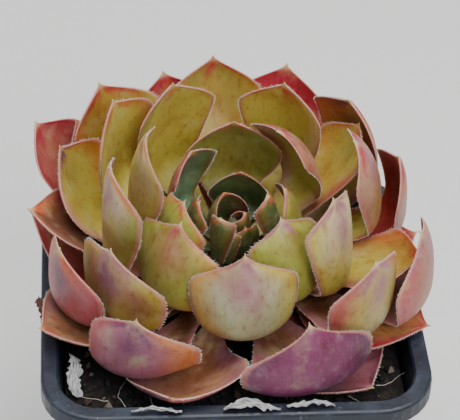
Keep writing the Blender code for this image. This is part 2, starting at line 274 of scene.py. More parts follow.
# A noise pattern: how far it is squeezed on each axis, its scale, its detail and its roughness
Pattern = namedtuple("Pattern", "squeeze scale detail roughness")
EVEN = (1.0, 1.0, 1.0)
LEAF_PATTERNS = {
    "veins": Pattern((1.3, 0.10, 1.0), 1.0, 4.0, 0.55),
    "cloud": Pattern(EVEN, 0.22, 4.0, 0.6),
    "speck": Pattern(EVEN, 3.2, 2.0, 0.55),
    "blotch": Pattern(EVEN, 0.11, 3.0, 0.5),
    "mottle": Pattern((0.75, 0.38, 1.0), 1.0, 5.0, 0.68),
}
POT_PATTERNS = {
    "dust": Pattern(EVEN, 90, 6.0, 0.65),
    "lime": Pattern(EVEN, 900, 3.0, 0.6),
    "scratch": Pattern((1.0, 1.0, 0.06), 700, 2.0, 0.55),
}
SOIL_PATTERNS = {"crumb": Pattern(EVEN, 420, 5.0, 0.6)}
STEM_PATTERNS = {"ring": Pattern(EVEN, 500, 3.0, 0.55)}
TISSUE_PATTERNS = {"fibre": Pattern((2.5, 0.3, 1.0), 1.6, 4.0, 0.55)}

# A layer of colour over a skin: the noise value where it starts, the value where it has its
# whole strength, its strength, its colour and how it mixes
Layer = namedtuple("Layer", "pattern low high strength colour blend")
LEAF_LAYERS = [
    Layer("veins", 0.46, 0.78, 0.16, (0.42, 0.22, 0.08), "MULTIPLY"),
    Layer("cloud", 0.50, 0.82, 0.24, (0.46, 0.48, 0.36), "MIX"),
    Layer("blotch", 0.54, 0.30, 0.42, (0.62, 0.24, 0.12), "MULTIPLY"),
    Layer("blotch", 0.52, 0.74, 0.22, (0.50, 0.44, 0.14), "MIX"),
    Layer("mottle", 0.50, 0.28, 0.62, (0.62, 0.30, 0.20), "MULTIPLY"),
    Layer("mottle", 0.55, 0.74, 0.14, (0.50, 0.50, 0.26), "MIX"),
    Layer("speck", 0.62, 0.74, 0.20, (0.55, 0.48, 0.38), "MIX"),
]
VEIN_RELIEF = 1.4
POT_PLASTIC = (0.008, 0.013, 0.024)
POT_LAYERS = [
    Layer("dust", 0.46, 0.76, 0.50, (0.052, 0.074, 0.112), "MIX"),
    Layer("lime", 0.62, 0.76, 0.40, (0.17, 0.20, 0.23), "MIX"),
    Layer("scratch", 0.69, 0.76, 0.22, (0.22, 0.25, 0.28), "MIX"),
]
# The soil's ground colour: near black, partly the soil's own dark brown and partly painted shade deep in the
# pot.
SOIL_DARK_AND_SHADE = (0.004, 0.003, 0.003)
SOIL_LAYERS = [Layer("crumb", 0.40, 0.66, 1.0, (0.026, 0.018, 0.014), "MIX")]
STEM_DARK = (0.030, 0.055, 0.018)
STEM_LAYERS = [Layer("ring", 0.4, 0.6, 1.0, (0.09, 0.10, 0.035), "MIX")]
TISSUE_LAYERS = [Layer("fibre", 0.42, 0.62, 0.80, (0.10, 0.085, 0.075), "MIX")]


def noises(tree, vector, patterns):
    """Each pattern's noise, by its name."""
    return {name: noise(tree, scaled(tree, vector, one.squeeze), one.scale, one.detail, one.roughness)
            for name, one in patterns.items()}


def paint(tree, surface, colour, values, layers):
    """Lays each layer over the colour where its noise says, and gives the result to the surface."""
    for layer in layers:
        share = ramp(tree, values[layer.pattern], layer.low, layer.high, 0.0, layer.strength)
        colour = mix_colour(tree, share, colour, layer.colour, layer.blend)
    fill_socket(tree, surface.inputs["Base Color"], colour)


def leaf_material():
    """Waxy skin: painted tint, mottling, lengthwise veins, pale bloom and a fine grain."""
    made, tree, surface = new_material("leaf_skin")
    values = noises(tree, grain_of(tree), LEAF_PATTERNS)
    paint(tree, surface, tint_of(tree), values, LEAF_LAYERS)
    roughness = ramp(tree, values["cloud"], 0.3, 0.7, out_low=0.40, out_high=0.56)
    fill_socket(tree, surface.inputs["Roughness"], roughness)
    set_inputs(surface, Subsurface_Weight=0.18, Subsurface_Radius=(1.0, 0.6, 0.25), Subsurface_Scale=0.0016)
    set_inputs(surface, Coat_Weight=0.12, Coat_Roughness=0.42, Sheen_Weight=0.03, Sheen_Roughness=0.5)
    veins = math_node(tree, "MULTIPLY", values["veins"], VEIN_RELIEF)
    bump(tree, surface, math_node(tree, "ADD", veins, values["speck"]), strength=0.22, distance=0.0002)
    return made


def fringe_material():
    """Pale, slightly see-through hairs."""
    made, tree, surface = new_material("fringe")
    paint(tree, surface, tint_of(tree), {}, [])
    set_inputs(surface, Roughness=0.5, Subsurface_Weight=0.4, Subsurface_Scale=0.0006)
    return made


def pot_material():
    """Dark slate plastic with a dull sheen, fine scuffs, lime and dust."""
    made, tree, surface = new_material("pot_skin")
    values = noises(tree, place_of(tree), POT_PATTERNS)
    paint(tree, surface, POT_PLASTIC, values, POT_LAYERS)
    roughness = ramp(tree, values["dust"], 0.35, 0.7, out_low=0.34, out_high=0.58)
    fill_socket(tree, surface.inputs["Roughness"], roughness)
    height = math_node(tree, "ADD", values["dust"], values["lime"])
    bump(tree, surface, height, strength=0.25, distance=0.0003)
    return made


def soil_material():
    """Dark, matt and lumpy; its near-black ground is partly the soil's own dark brown and partly painted
    shade deep in the pot.
    """
    made, tree, surface = new_material("soil_skin")
    values = noises(tree, place_of(tree), SOIL_PATTERNS)
    paint(tree, surface, SOIL_DARK_AND_SHADE, values, SOIL_LAYERS)
    set_inputs(surface, Roughness=0.95)
    bump(tree, surface, values["crumb"], strength=0.9, distance=0.0012)
    return made


def stem_material():
    """Green-brown and uneven."""
    made, tree, surface = new_material("stem_skin")
    paint(tree, surface, STEM_DARK, noises(tree, place_of(tree), STEM_PATTERNS), STEM_LAYERS)
    set_inputs(surface, Roughness=0.6)
    return made


def tissue_material():
    """Dry tissue: thin, dull, crossed by fine fibres."""
    made, tree, surface = new_material("dry_tissue")
    values = noises(tree, grain_of(tree), TISSUE_PATTERNS)
    paint(tree, surface, tint_of(tree), values, TISSUE_LAYERS)
    set_inputs(surface, Roughness=0.8, Subsurface_Weight=0.25, Subsurface_Scale=0.0008)
    bump(tree, surface, values["fibre"], strength=0.7, distance=0.0004)
    return made


def crumb_material():
    """Matt, in each crumb's own colour."""
    made, tree, surface = new_material("crumb_skin")
    paint(tree, surface, tint_of(tree), {}, [])
    set_inputs(surface, Roughness=0.95)
    return made


# The rosette's leaves, in millimetres and degrees, as they stand in the frame. Where a value is a
# pair, it goes from the youngest leaf to the oldest.
BASE_DEPTH = (6.0, 19.5)
BASE_RADIUS = (3.0, 7.8)
YOUNG_RISE = 24.0
LEAF_THICKNESS = 1.5
CLAW_SHARE = 0.16
CLAW_CURVE = (1.9, 3.5)
POINT_SHARE = 0.44
POINT_MOST = 0.5
OGEE_CURVE = 1.35
CUP = (1.0, 3.6)
TWIST_CURVE = 1.5
MUCRO_LENGTH = 1.8
MUCRO_THIN = 0.05
MUCRO_SWELL = 0.27

# The midrib's pull on its curves: a cupped leaf leaves its base, turns up at its belly and rises
# to its tip; an open leaf leaves its base and comes to a steep or a flat tip
BELLY_HEIGHT = (0.26, 0.38)
LEAVE_PULL = 0.50
BELLY_PULL = 0.28
RISE_PULL = 0.36
OPEN_PULL = 0.62
STEEP_PULL = 0.60
FLAT_PULL = 0.30
CURVE_POINTS = 160
MIDRIB_POINTS = 90

# How thick the flesh is: along the leaf, across it, and near the point, where it thins with the width
FLESH_LEAST = 0.55
FLESH_SWELL = 0.45
FLESH_CURVE = 0.85
SECTION_CURVE = 0.8
POINT_FLESH = 9
POINT_FLESH_LEAST = 0.35

# The fine skin: its rows and columns, how rows crowd towards the tip, the rim and its bead, the
# keel on the outer face, and where the blade starts to sway
FINE_ROWS = 48
FINE_COLUMNS = 25
ROW_CURVE = 1.35
FINE_RIM = (0.20, 0.42)
RIM_AGEING = 3
BEAD = 0.14
BEAD_LEAST_HALF = 0.3
KEEL_HEIGHT = 0.25
KEEL_HALF = 0.16
KEEL_START = (0.62, 0.90)
SWAY_START = (0.1, 0.4)
LEAST_RADIUS = 1.0
GRAIN_SHIFT = 90
FACES_APART = 9
LEAF_SEED = 11

# Youngest first. After the sizes: the face that the photograph shows, and its colours in the
# order base, body, top, tip, left margin, right margin and the patch under the tip.
Leaf = namedtuple("Leaf", "azimuth reach rise width belly slope turn lean face paint")
LEAVES = [
    # The leaves here that reach less than 10 mm: their deep fern and moss greens are partly their own green
    # and partly painted shade in the rosette's heart.
    Leaf(314, 3.5, 9.5, 13, 3, 0, 1, 0, "in", "fern fern moss orange brown brown fern"),
    Leaf(7, 8, 11, 17, 4, 0, 0, 0, "in", "moss fern green brown fern fern moss"),
    Leaf(144, 4, 4, 12, 1.5, 0, 1, 0, "in", "moss moss umber red flame flame umber"),
    Leaf(87, 2, 5.5, 6.5, 1.5, 0, 0, 0, "in", "fern fern moss red brown brown fern"),
    Leaf(194, 5.5, 4.5, 5.5, 1.5, 0, 1, 0, "in", "fern fern moss red brown brown fern"),
    Leaf(260, 8.5, 10.5, 11, 4, 0, 0, 0, "in", "fern moss moss red flame flame moss"),
    # This inner face's lemon and cream are lighter than its own colour: painted light, to lift it out of the
    # shade it lies in.
    Leaf(45, 12.5, 24, 21, 11.5, 0, 0.5, 0, "in", "lemon lemon cream amber blush blush lemon"),
    Leaf(110, 7.5, 14.5, 8.5, 3.5, 0, 0, 3, "in", "fern fern fern orange orange orange fern"),
    Leaf(306, 13, 18, 16.5, 5, 0, 0, 3, "in", "green teal teal orange orange green umber"),
    Leaf(207, 7.5, 10.5, 6.5, 2, 0, 0, 0, "in", "fern fern moss red moss moss fern"),
    Leaf(81, 11, 12.5, 12.5, 5, 0, 0, -6, "out", "olive lime olive rose mauve lime lime"),
    Leaf(142, 16.5, 18, 19, 8.5, 0, 1, 9, "out", "brown lime lime mauve lime olive olive"),
    Leaf(240, 13.5, 16, 19, 6.5, 0, 0, 18, "out", "olive lime lime flame amber orange lime"),
    # This inner face is painted lighter than its own colour: painted light, where the lamps leave it in
    # shade.
    Leaf(297, 33.5, 26.5, 24.5, 0.5, 0, 0, 6, "in", "straw lemon lemon orange lemon orange lemon"),
    Leaf(356, 16, 20, 25, 6, 0, 0, 0, "in", "brown olive lime orange lime lime olive"),
    Leaf(77, 27.5, 24.5, 20, 8, 0, 3, -9, "in", "straw lemon straw orange amber clay straw"),
    Leaf(121, 25.5, 25, 18.5, 4.5, 0, 0, 0, "out", "straw lemon cream mauve lemon lime mauve"),
    Leaf(220, 19, 17, 26, 7.5, 0, 0, 6, "out", "brown lime olive rose lime amber clay"),
    # This outer face is painted lighter than its own colour: painted light, to lift it out of the shade it
    # lies in.
    Leaf(272, 21, 29, 20, 4, 0, -3, -3, "out", "lemon lemon cream orange lemon blush lemon"),
    # This inner face is painted lighter than its own colour: painted light, where the lamps leave it in
    # shade.
    Leaf(323, 26.5, 27, 22, 4, 0, 0, 15, "in", "olive lemon lemon orange lime lemon straw"),
    # This inner face is painted lighter than its own colour: painted light, where the lamps leave it in
    # shade.
    Leaf(24, 26, 26, 22, 4, 0, 0, 18, "in", "ochre lemon lemon flame lemon cream straw"),
    Leaf(128, 40.5, 17, 23.5, 1.5, 0, 1, 3, "out", "straw dove straw mauve rose orange mauve"),
    Leaf(229, 37, 17.5, 26.5, 1, 0, -2, 3, "out", "lime straw clay mauve lemon straw purple"),
    Leaf(285, 44, 14.5, 25.5, 0, 88, 0, -18, "in", "olive straw straw purple blush orange olive"),
    Leaf(174, 23, 16, 26, 7, 0, 0, -9, "out", "brown sage dove mauve amber lemon mauve"),
    Leaf(50, 38.5, 13, 20.5, 0, 78, 5, 15, "in", "olive ochre straw orange amber rose olive"),
    Leaf(101, 45.5, 2.5, 20.5, 0, 53, 1, 0, "in", "olive straw ochre red clay flame ochre"),
    Leaf(351, 44, 16.5, 24, 0, 88, 0, 0, "in", "olive ochre olive red orange ochre ochre"),
    Leaf(252, 30, 28, 21, 1.5, 0, -1, 9, "out", "lime lemon cream orange cream lime mauve"),
    Leaf(45, 37, 19, 24, 6.5, 0, 2, -30, "in", "olive ochre orange plum orange mauve ochre"),
    Leaf(311, 45.5, 18.5, 24, 0, 83, 4, -9, "in", "olive ochre ochre red flame straw ochre"),
    Leaf(104, 44, 12.5, 28, 4, 0, 0, 6, "out", "olive clay clay mauve rose clay mauve"),
    Leaf(154, 39.5, 7.5, 33, 6.5, 0, 1, 3, "out", "plum purple magenta magenta plum plum magenta"),
    Leaf(244, 44.5, 12, 24, 0.5, 0, -2, -12, "out", "ochre mauve rose flame rose rose plum"),
    Leaf(14, 48.5, 11.5, 22.5, 0, 78, -1, -3, "in", "brown crimson crimson crimson crimson crimson crimson"),
    Leaf(70, 41, 12.5, 21, 3, 0, 3, -6, "in", "flame red crimson crimson red red red"),
    Leaf(306, 50, 6, 24.5, 0, 68, 0, -6, "in", "umber brown flame crimson crimson crimson brown"),
    Leaf(112, 51, -11, 34.5, 0, 43, 1, 0, "in", "olive ochre clay crimson crimson crimson orange"),
    Leaf(210, 43, 8.5, 25, 1.5, 0, -5, 9, "out", "plum mauve mauve purple rose orange purple"),
    Leaf(268, 49.5, 6, 22.5, 0, 30, -3, -3, "in", "brown brown brown flame rose mauve umber"),
    Leaf(337, 50, 8.5, 22, 0, 73, -1, 0, "in", "brown flame crimson crimson crimson crimson flame"),
    Leaf(13, 49, -3, 27.5, 0, 55, 0, 0, "in", "umber brown flame crimson crimson crimson brown"),
    Leaf(74, 47.5, -12.5, 26.5, 0, 48, 0, -15, "in", "umber brown rose crimson crimson crimson brown"),
    Leaf(296, 55.5, 10, 22.5, 0, 73, -2, -3, "in", "ochre clay rose crimson crimson rose clay"),
    Leaf(138, 50, -13, 28.5, 0, 50, 0, -12, "in", "clay rose mauve purple purple purple mauve"),
    Leaf(195, 50, -5.5, 27.5, 0, 68, -5, -9, "out", "plum mauve purple rose mauve mauve purple"),
    Leaf(328, 51.5, -4, 28, 0, 53, 0, -18, "in", "umber brown flame crimson crimson crimson brown"),
    Leaf(238, 53, -6.5, 30, 0, 48, -4, 0, "in", "olive olive clay red mauve rose brown"),
    Leaf(31, 54.5, -3.5, 27.5, 0, 63, 0, -6, "in", "umber brown flame crimson crimson crimson brown"),
    Leaf(282, 52, -7.5, 30, 0, 45, 0, -15, "in", "umber brown rose crimson crimson crimson brown"),
]

# Colours of the face that the photograph hides, by the face that it shows; the leaves that reach
# least have the heart's, whose deep fern and moss greens are partly the young leaves' own green
# and partly painted shade in the rosette's heart
HIDDEN_PAINT = {
    "in": "olive straw clay crimson rose clay mauve",
    "out": "umber brown clay red mauve mauve brown",
}
HEART_PAINT_AND_SHADE = "fern fern moss flame moss moss fern"
HEART_REACH = 10.0

# Where each colour starts and where it is whole: shares of the way along, across for the margins'
# band, and of the blotches' own pattern; the patch's halves are across and along
BODY_BAND = (0.15, 0.50)
TOP_BAND = (0.52, 0.86)
TIP_BAND = (0.90, 0.985)
MARGIN_BAND = (0.40, 0.97)
MARGIN_START = (0.12, 0.45)
MARGIN_STRENGTH = 0.92
BLOTCH_BAND = (0.2, 0.9)
BLOTCH_START = (0.2, 0.4)
BLOTCH_STRENGTH = 0.45
PATCH_PLACE = 0.84
PATCH_HALF = (0.36, 0.11)
PATCH_STRENGTH = 0.85

# The dark band inside the margin, the pale edge and the cream point, in millimetres and shares
DARK_BAND = 1.1
DARK_SHARE = 0.15
DARK_WHOLE = 0.25
DARK_STRENGTH = 0.45
PALE_STRENGTH = (0.25, 0.75)
RIM_START = (0.2, 0.5)
RIM_ACROSS = 0.999
CREAM_LEAST = 0.3
CREAM_GROWTH = 0.04
CREAM_WHOLE = 0.1
DARK_INK = 0.6 * INKS["red"]
PALE_INK = 0.5 * (INKS["blush"] + INKS["pink"])


def polar(degrees, radius=1.0):
    angle = math.radians(degrees)
    return np.array([radius * math.cos(angle), radius * math.sin(angle)])


def bezier(start, leave, arrive, end):
    t = np.linspace(0.0, 1.0, CURVE_POINTS)[:, None]
    return (1 - t) ** 3 * start + 3 * (1 - t) ** 2 * t * leave + 3 * (1 - t) * t ** 2 * arrive + t ** 3 * end


def between(pair, share):
    """The value at this share of the way from the pair's first to its second."""
    return pair[0] + (pair[1] - pair[0]) * share


def smooth(low, high, value):
    """Rises from 0 at low to 1 at high, without a kink at either."""
    t = np.clip((value - low) / (high - low), 0, 1)
    return t * t * (3 - 2 * t)


def run_of(line):
    """Distance along a line of points, from its first point to each."""
    return np.concatenate([[0.0], np.cumsum(np.linalg.norm(np.diff(line, axis=0), axis=1))])


def cupped_line(leaf, age, base, leave, tip):
    """Out to the belly, up past it, and back in to the tip."""
    height = base[1] + between(BELLY_HEIGHT, age) * (leaf.rise - base[1])
    belly = np.array([leaf.reach + leaf.belly, height])
    out, up = belly[0] - base[0], np.linalg.norm(tip - belly)
    slope = 90 + 2 * math.degrees(math.atan2(leaf.belly, leaf.rise - height))
    lower = bezier(base, base + LEAVE_PULL * out * leave, belly - BELLY_PULL * out * polar(90), belly)
    upper = bezier(belly, belly + RISE_PULL * up * polar(90), tip - RISE_PULL * up * polar(slope), tip)
    return np.vstack([lower, upper[1:]])


def open_line(leaf, base, leave, tip):
    """One sweep out and up, which reaches the tip at the leaf's slope."""
    steep = math.sin(math.radians(leaf.slope))
    out, up = leaf.reach - base[0], leaf.rise - base[1]
    pull = STEEP_PULL * up * steep + FLAT_PULL * out * (1 - steep)
    return bezier(base, base + OPEN_PULL * out * leave, tip - pull * polar(leaf.slope), tip)


def midrib(leaf, age):
    """Points at even steps from base to tip, as distance from the axis and height, and their length."""
    base = np.array([between(BASE_RADIUS, age), -between(BASE_DEPTH, age)])
    tip = np.array([leaf.reach, leaf.rise])
    leave = polar(YOUNG_RISE * (1 - age) + leaf.lean)
    if leaf.belly:
        line = cupped_line(leaf, age, base, leave, tip)
    else:
        line = open_line(leaf, base, leave, tip)
    run = run_of(line)
    even = np.linspace(0.0, run[-1], MIDRIB_POINTS)
    return np.stack([np.interp(even, run, line[:, 0]), np.interp(even, run, line[:, 1])], 1), run[-1]


def half_widths(along, leaf, age, length):
    """Narrow claw, widest past the middle, then an ogee shoulder into a fine hard point."""
    point = min(POINT_MOST, POINT_SHARE * leaf.width / length)
    widest = 1 - point
    swell = np.sin(0.5 * np.pi * np.clip(along / widest, 0, 1)) ** between(CLAW_CURVE, age)
    claw = CLAW_SHARE + (1 - CLAW_SHARE) * swell
    ogee = 0.5 * (1 + np.cos(np.pi * np.clip((along - widest) / point, 0, 1) ** OGEE_CURVE))
    half = 0.5 * leaf.width * np.where(along < widest, claw, ogee)
    spine = MUCRO_THIN + MUCRO_SWELL * np.clip((1 - along) * length / MUCRO_LENGTH, 0, 1)
    return np.maximum(half, spine)


def phases(rng, count):
    """Where each of some waves starts."""
    return [rng.uniform(0, 2 * math.pi) for _ in range(count)]


def ripple(size, waves, value, phase):
    return size * np.sin(waves * value + phase)


def loop_face(columns):
    """1 on a row's first face, -1 on its other face, and 0 on the margins between them."""
    return np.concatenate([np.ones(columns), [0], -np.ones(columns), [0]])[None, :]


def loop_across(half):
    """Place across the blade, from -1 to 1 on each face, and a little further on the margins' bead."""
    face = np.tile(np.linspace(-1, 1, FINE_COLUMNS), (FINE_ROWS, 1))
    bead = 1 + BEAD / np.maximum(half, BEAD_LEAST_HALF)
    return np.hstack([face, bead, face[:, ::-1], -bead])


def blade(leaf, age, along, across, face, share, rng):
    """How far each point is lifted off the sweep of the midrib, and how thick the leaf is there."""
    wave = phases(rng, 5)
    sway = ripple(0.10, 7, along, wave[0]) * np.sin(3 * across + wave[1])
    sway += ripple(0.09, 16, along, wave[2]) * across ** 3
    hollow = ripple(0.10, 23, along, 4 * across + wave[3])
    lift = between(CUP, age) * across ** 2 * share
    lift += leaf.turn * across * share * np.sin(np.pi * along ** TWIST_CURVE)
    lift += sway * share * smooth(*SWAY_START, along)
    flesh = FLESH_LEAST + FLESH_SWELL * np.sin(np.pi * along ** FLESH_CURVE)
    inside = np.clip(1 - across ** 2, 0, 1)
    rim = between(FINE_RIM, min(1.0, RIM_AGEING * age))
    body = (LEAF_THICKNESS - rim) * flesh * inside ** SECTION_CURVE
    keel = KEEL_HEIGHT * np.exp(-(across / KEEL_HALF) ** 2) * smooth(*KEEL_START, along) * (face < 0)
    thick = rim + body + (hollow + keel) * share * inside
    return lift, thick * np.clip(share * POINT_FLESH, POINT_FLESH_LEAST, 1)


def mixed(tint, ink, weight):
    return tint + (ink - tint) * weight[..., None]


def face_tint(words, along, across, flip, rng):
    """Bands from base to tip, the two margins and the patch under the tip, with uneven borders."""
    base, body, top, tip, left, right, patch = (INKS[word] for word in words.split())
    if flip:
        left, right = right, left
    wave = phases(rng, 6)
    run = along + ripple(0.035, 5, across, wave[0]) + ripple(0.02, 13, across, wave[1])
    side = across + ripple(0.10, 8, along, wave[2]) + ripple(0.05, 19, along, wave[3])
    tint = mixed(np.broadcast_to(base, along.shape + (3,)), body, smooth(*BODY_BAND, run))
    tint = mixed(tint, top, smooth(*TOP_BAND, run))
    blotch = np.sin(9 * run + 3 * side + wave[4]) * np.sin(5 * side - 6 * run + wave[5])
    tint = mixed(tint, top, BLOTCH_STRENGTH * smooth(*BLOTCH_BAND, blotch) * smooth(*BLOTCH_START, run))
    tint = mixed(tint, body, BLOTCH_STRENGTH * smooth(*BLOTCH_BAND, -blotch))
    edge = smooth(*MARGIN_BAND, np.abs(side)) * smooth(*MARGIN_START, run) * MARGIN_STRENGTH
    tint = mixed(tint, left, edge * (across < 0))
    tint = mixed(tint, right, edge * (across >= 0))
    spot = np.exp(-(side / PATCH_HALF[0]) ** 2 - ((run - PATCH_PLACE) / PATCH_HALF[1]) ** 2)
    tint = mixed(tint, patch, PATCH_STRENGTH * spot)
    return mixed(tint, tip, smooth(*TIP_BAND, run + 0.02 * np.abs(side)))


def skin_tint(leaf, age, along, across, face, half, length, rng):
    """Both faces' paint, the dark band inside the margin, its pale edge and the cream point."""
    flip = math.cos(math.radians(leaf.azimuth)) < 0
    hidden = HEART_PAINT_AND_SHADE if leaf.reach < HEART_REACH else HIDDEN_PAINT[leaf.face]
    words = (leaf.paint, hidden) if leaf.face == "in" else (hidden, leaf.paint)
    inner, outer = (face_tint(some, along, across, flip, rng) for some in words)
    tint = mixed(outer, inner, np.broadcast_to(0.5 + 0.5 * face, along.shape))
    from_edge = half * (1 - np.abs(across).clip(0, 1))
    dark = smooth(min(DARK_BAND, DARK_SHARE * leaf.width), DARK_WHOLE, from_edge)
    tint = mixed(tint, DARK_INK, DARK_STRENGTH * dark * smooth(*RIM_START, along))
    pale = between(PALE_STRENGTH, min(1.0, RIM_AGEING * age)) * (np.abs(across) > RIM_ACROSS)
    tint = mixed(tint, PALE_INK, pale * smooth(*RIM_START, along))
    cream = smooth(CREAM_LEAST + CREAM_GROWTH * length, CREAM_WHOLE, (1 - along) * length)
    return mixed(tint, INKS["cream"], cream)


def leaf_form(leaf, age, rng):
    """A leaf's skin, one closed loop of points a row, with its tint, its grain and the leaf's length."""
    line, length = midrib(leaf, age)
    along = 1 - (1 - np.linspace(0, 1, FINE_ROWS)) ** ROW_CURVE
    place, steps = along * (len(line) - 1), np.arange(len(line))
    radius, height = (np.interp(place, steps, line[:, k])[:, None] for k in (0, 1))
    run, climb = (np.interp(place, steps, np.gradient(line[:, k]))[:, None] for k in (0, 1))
    slant = np.hypot(run, climb)
    inward, upward = -climb / slant, run / slant

    half = half_widths(along, leaf, age, length)[:, None]
    share = half / (0.5 * leaf.width)
    across = loop_across(half)
    face = loop_face(FINE_COLUMNS)
    along = np.broadcast_to(along[:, None], across.shape)
    lift, thick = blade(leaf, age, along, across, face, share, rng)
    shift = lift + 0.5 * face * thick
    reach = np.maximum(radius + inward * lift, LEAST_RADIUS)
    angle = math.radians(leaf.azimuth) + half * across / reach
    out, up = radius + inward * shift, height + upward * shift
    points = np.stack([out * np.sin(angle), out * np.cos(angle), up], 2)

    tint = skin_tint(leaf, age, along, across, face, half, length, rng)
    apart = rng.uniform(0, GRAIN_SHIFT) + FACES_APART * np.broadcast_to(face, along.shape)
    grain = np.stack([across * half, along * length, apart], 2)
    return points, tint, grain, length


def loop_faces(rows, columns):
    """Quads between rows of a closed loop, with a cap at each end."""
    faces = []
    for i in range(rows - 1):
        for j in range(columns):
            k = (j + 1) % columns
            faces.append((i * columns + j, i * columns + k, (i + 1) * columns + k, (i + 1) * columns + j))
    faces.append(tuple(range(columns))[::-1])
    faces.append(tuple(range((rows - 1) * columns, rows * columns)))
    return faces


# Hairs along the margins, in millimetres: they start at a share of the way up, and leaves under
# a good length have shorter ones
CILIA_START = 0.30
CILIA_STEP = 0.50
CILIA_UNEVEN = (0.6, 1.5)
CILIA_RADIUS = 0.11
CILIA_ROOT = 0.1
CILIA_LENGTH = (0.35, 0.85)
CILIA_FORWARD = (0.1, 0.7)
CILIA_SPREAD = 0.35
CILIA_SHORTEST = 0.35
CILIA_LONG_LEAF = 45
SPIKE = ((0, 1, 3), (1, 2, 3), (2, 0, 3), (0, 2, 1))
SPIKE_POINTS = 4


def at_row(line, row):
    """The point at a row of a line that may lie between two, and at most at its last."""
    rows = np.arange(len(line))
    return np.array([np.interp(min(row, len(line) - 1), rows, line[:, k]) for k in range(3)])


def unit(vector):
    """The vector at length one, or nearly nothing where it has no direction."""
    return vector / max(np.linalg.norm(vector), 1e-6)


def one_hair(here, outward, onward, longest, rng):
    """A spike's three points at its root and one at its end."""
    upright = np.cross(outward, onward)
    heading = outward + onward * rng.uniform(*CILIA_FORWARD)
    heading = heading + upright * rng.uniform(-CILIA_SPREAD, CILIA_SPREAD)
    end = rng.uniform(*CILIA_LENGTH) * longest * unit(heading)
    root = here - CILIA_ROOT * outward
    first, second = CILIA_RADIUS * onward, CILIA_RADIUS * unit(upright)
    return [root + first, root - 0.5 * first + second, root - 0.5 * first - second, root + end]


def cilia(points, length, rng):
    """Fine hairs that stand out from both margins, shorter on short leaves, as points and faces."""
    hairs = []
    longest = min(1.0, CILIA_SHORTEST + length / CILIA_LONG_LEAF)
    for column, beside in ((FINE_COLUMNS, FINE_COLUMNS - 2), (2 * FINE_COLUMNS + 1, 1)):
        margin, inner = points[:, column], points[:, beside]
        run = run_of(margin)
        place = CILIA_START * run[-1]
        while place < run[-1] - MUCRO_LENGTH:
            row = float(np.interp(place, run, np.arange(FINE_ROWS)))
            here = at_row(margin, row)
            outward = unit(here - at_row(inner, row))
            onward = unit(at_row(margin, row + 1) - here)
            hairs += one_hair(here, outward, onward, longest, rng)
            place += CILIA_STEP * rng.uniform(*CILIA_UNEVEN)
    spikes = [tuple(start + corner for corner in face)
              for start in range(0, len(hairs), SPIKE_POINTS) for face in SPIKE]
    return np.array(hairs), spikes


def add_fields(mesh, tint, grain):
    """The painted colour of each point and its place on the skin, where the piece has them."""
    if tint is not None:
        opaque = np.hstack([tint, np.ones((len(tint), 1))])
        mesh.attributes.new("tint", "FLOAT_COLOR", "POINT").data.foreach_set("color", opaque.ravel())
    if grain is not None:
        mesh.attributes.new("grain", "FLOAT_VECTOR", "POINT").data.foreach_set("vector", grain.ravel())


def new_piece(name, points, faces, materials, tint=None, grain=None, slots=None, smooth_shading=True):
    """A mesh in millimetres in the frame's own axes, riding on the root."""
    mesh = bpy.data.meshes.new(name)
    mesh.from_pydata((np.asarray(points) * MM).tolist(), [], faces)
    for one in materials:
        mesh.materials.append(one)
    add_fields(mesh, tint, grain)
    if slots is not None:
        mesh.polygons.foreach_set("material_index", slots)
    if smooth_shading:
        mesh.shade_smooth()
    mesh.update()
    piece = bpy.data.objects.new(name, mesh)
    put_in_scene(piece)
    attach(piece, ROOT)
    return piece


def in_pot(points):
    """Rosette millimetres to the pot's millimetres."""
    place = np.array(rosette_matrix())
    return points @ place[:3, :3].T + place[:3, 3] / MM


def box_corners():
    """The frame's box, in millimetres."""
    return [np.array(corner) / MM for corner in cad_box]


def inside_box(points):
    """Which points lie within the frame's box."""
    low, high = box_corners()
    return np.all((points > low) & (points < high), axis=1)


def make_leaves():
    """A fine skin with its hairs in the place of each solid leaf."""
    materials = (leaf_material(), fringe_material())
    faces = loop_faces(FINE_ROWS, 2 * FINE_COLUMNS + 2)
    for index, leaf in enumerate(LEAVES):
        age = index / (len(LEAVES) - 1)
        rng = random.Random(LEAF_SEED + index)
        points, tint, grain, length = leaf_form(leaf, age, rng)
        hairs, spikes = cilia(points, length, rng)
        skin, hairs = np.clip(in_pot(points.reshape(-1, 3)), *box_corners()), in_pot(hairs)
        whole = inside_box(hairs[SPIKE_POINTS - 1::SPIKE_POINTS])
        spikes = [tuple(len(skin) + corner for corner in face)
                  for k, face in enumerate(spikes) if whole[k // len(SPIKE)]]
        slots = [0] * len(faces) + [1] * len(spikes)
        tints = np.vstack([tint.reshape(-1, 3), np.tile(INKS["ivory"], (len(hairs), 1))])
        grains = np.vstack([grain.reshape(-1, 3), np.zeros((len(hairs), 3))])
        name = f"leaf_{index + 1:02d}"
        piece = new_piece(f"fine_{name}", np.vstack([skin, hairs]), faces + spikes, materials,
                          tints, grains, slots)
        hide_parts(name)


# Pot, soil and what lies about

def dress_frame():
    """New skins for the frame's own pot, soil and stem."""
    for name, skin in (("pot", pot_material()), ("soil", soil_material()), ("stem", stem_material())):
        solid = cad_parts[name]
        for socket in solid.material_slots:
            socket.material = skin


